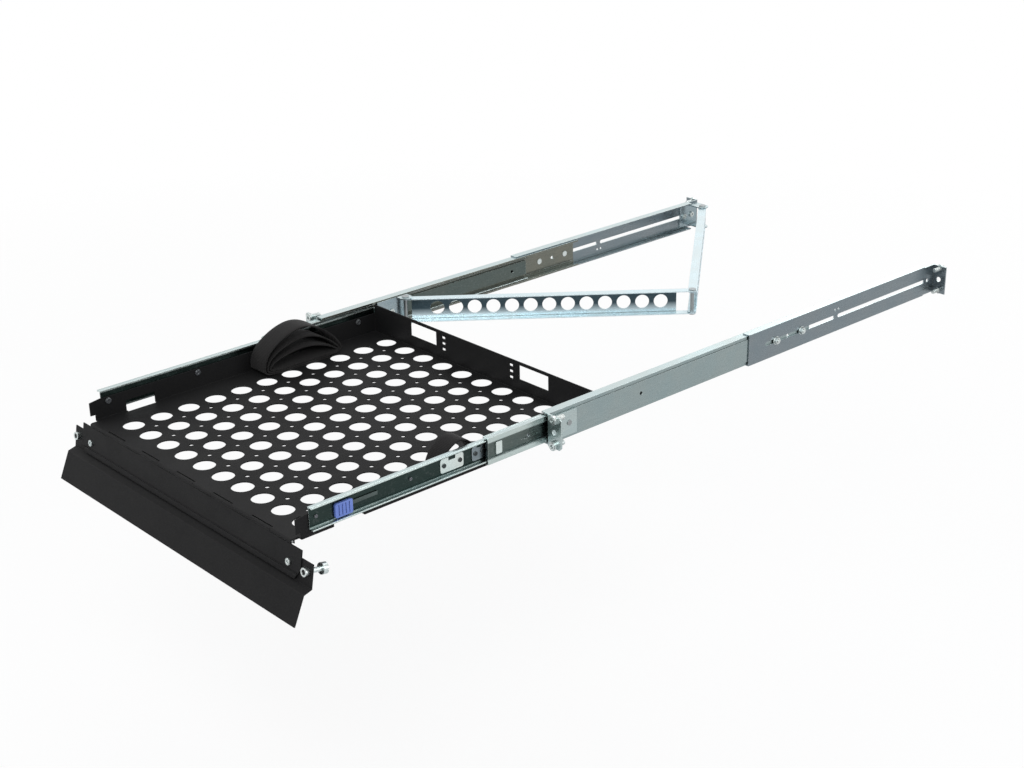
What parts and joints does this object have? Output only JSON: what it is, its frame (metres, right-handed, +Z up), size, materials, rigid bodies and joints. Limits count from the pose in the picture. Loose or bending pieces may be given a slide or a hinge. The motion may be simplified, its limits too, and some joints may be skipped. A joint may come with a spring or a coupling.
{
  "type": "sliding rack shelf",
  "caption": "Sliding rack shelf: a perforated tray on ball slides with a fold-up faceplate, slotted rear brackets and a hinged cable arm.",
  "frame": {"origin": "middle of the rack unit on the front mounting face of the rack, which is the centre of the bolt pattern of the two front ears", "axes": "+X to the right seen from the front of the rack, +Y to the back of the rack, +Z up; the shelf is stored pulled part way out, as in the picture"},
  "size_m": [0.487, 1.1244, 0.1315],
  "materials": {
    "black_paint": "fine textured powder coat",
    "zinc_plate": "bluish zinc plate",
    "bright_steel": "bright zinc plate",
    "steel_pins": "plain steel",
    "blue_plastic": "moulded plastic",
    "strap_tape": "woven hook and loop tape"
  },
  "bodies": {
    "rack_parts": {"outer_member_right": "zinc_plate", "outer_member_left": "zinc_plate", "ear_right": "zinc_plate", "ear_left": "zinc_plate", "front_rivets": "steel_pins", "rear_bracket_right": "zinc_plate", "rear_bracket_left": "zinc_plate", "bracket_bolts": "bright_steel", "bracket_nuts": "bright_steel", "rack_screws_front": "bright_steel", "rack_screws_rear": "bright_steel", "rear_fork": "zinc_plate", "arm_screws": "bright_steel", "rear_pivot_pin": "steel_pins"},
    "shelf": {"tray": "black_paint", "hinge_pin": "steel_pins", "inner_member_right": "zinc_plate", "inner_member_left": "zinc_plate", "wall_screws": "bright_steel", "long_latch_plate_right": "bright_steel", "long_latch_plate_left": "bright_steel", "short_latch_plate_right": "bright_steel", "short_latch_plate_left": "bright_steel", "latch_rivets": "steel_pins", "shelf_fork": "zinc_plate", "shelf_screws": "bright_steel", "shelf_pivot_studs": "steel_pins", "strap_left": "strap_tape", "strap_right": "strap_tape"},
    "flap": {"hinge_leaf": "black_paint", "faceplate": "black_paint", "flap_screws": "bright_steel", "ferrules": "bright_steel"},
    "captive_left": {"captive_screw_left": "bright_steel"},
    "captive_right": {"captive_screw_right": "bright_steel"},
    "rear_link": {"rear_arm": "zinc_plate"},
    "front_link": {"front_arm": "zinc_plate", "elbow_pin": "steel_pins", "arm_end_pin": "steel_pins"},
    "middle_right": {"middle_member_right": "zinc_plate", "stop_block_right": "bright_steel"},
    "outer_cage_body_right": {"outer_cage_right": "steel_pins", "outer_balls_right": "bright_steel"},
    "inner_cage_body_right": {"inner_cage_right": "steel_pins", "inner_balls_right": "bright_steel"},
    "release_right": {"release_tab_right": "blue_plastic"},
    "middle_left": {"middle_member_left": "zinc_plate", "stop_block_left": "bright_steel"},
    "outer_cage_body_left": {"outer_cage_left": "steel_pins", "outer_balls_left": "bright_steel"},
    "inner_cage_body_left": {"inner_cage_left": "steel_pins", "inner_balls_left": "bright_steel"},
    "release_left": {"release_tab_left": "blue_plastic"}
  },
  "joints": [
    {"name": "shelf_slide", "type": "slide", "parent": "rack_parts", "child": "shelf", "axis": [0, -1, 0], "range_m": [-0.327, 0.1]},
    {"name": "middle_slide_right", "type": "slide", "parent": "rack_parts", "child": "middle_right", "axis": [0, -1, 0], "range_m": [-0.08834, 0.02705]},
    {"name": "outer_cage_slide_right", "type": "slide", "parent": "rack_parts", "child": "outer_cage_body_right", "axis": [0, -1, 0], "range_m": [-0.0442, 0.01355]},
    {"name": "inner_cage_slide_right", "type": "slide", "parent": "rack_parts", "child": "inner_cage_body_right", "axis": [0, -1, 0], "range_m": [-0.2077, 0.06355]},
    {"name": "middle_slide_left", "type": "slide", "parent": "rack_parts", "child": "middle_left", "axis": [0, -1, 0], "range_m": [-0.08834, 0.02705]},
    {"name": "outer_cage_slide_left", "type": "slide", "parent": "rack_parts", "child": "outer_cage_body_left", "axis": [0, -1, 0], "range_m": [-0.0442, 0.01355]},
    {"name": "inner_cage_slide_left", "type": "slide", "parent": "rack_parts", "child": "inner_cage_body_left", "axis": [0, -1, 0], "range_m": [-0.2077, 0.06355]},
    {"name": "rear_link_hinge", "type": "hinge", "parent": "rack_parts", "child": "rear_link", "pos_m": [-0.2, 0.731, 0], "axis": [0, 0, 1], "range_deg": [-9.45, 30.78]},
    {"name": "elbow_hinge", "type": "hinge", "parent": "rear_link", "child": "front_link", "pos_m": [0.0498, 0.4315, 0], "axis": [0, 0, 1], "range_deg": [-61.5, 18.84]},
    {"name": "flap_hinge", "type": "hinge", "parent": "shelf", "child": "flap", "pos_m": [0, -0.346, -0.0224], "axis": [-1, 0, 0], "range_deg": [0, 170.4]},
    {"name": "captive_left_slide", "type": "slide", "parent": "flap", "child": "captive_left", "axis": [0, -0.986, 0.1668], "range_m": [0, 0.014]},
    {"name": "release_left_slide", "type": "slide", "parent": "shelf", "child": "release_left", "axis": [0, -1, 0], "range_m": [0, 0.005], "stiffness_N_per_m": 300, "springref_m": -0.002},
    {"name": "captive_right_slide", "type": "slide", "parent": "flap", "child": "captive_right", "axis": [0, -0.986, 0.1668], "range_m": [0, 0.014]},
    {"name": "release_right_slide", "type": "slide", "parent": "shelf", "child": "release_right", "axis": [0, -1, 0], "range_m": [0, 0.005], "stiffness_N_per_m": 300, "springref_m": -0.002}
  ],
  "couplings": [
    {"joint": "middle_slide_right", "follows": "shelf_slide", "ratio": 0.27},
    {"joint": "outer_cage_slide_right", "follows": "shelf_slide", "ratio": 0.135},
    {"joint": "inner_cage_slide_right", "follows": "shelf_slide", "ratio": 0.635},
    {"joint": "middle_slide_left", "follows": "shelf_slide", "ratio": 0.27},
    {"joint": "outer_cage_slide_left", "follows": "shelf_slide", "ratio": 0.135},
    {"joint": "inner_cage_slide_left", "follows": "shelf_slide", "ratio": 0.635},
    {"joint": "rear_link_hinge", "follows": "shelf_slide", "rad_per_m": -1.64},
    {"joint": "elbow_hinge", "follows": "shelf_slide", "rad_per_m": 3.28}
  ]
}
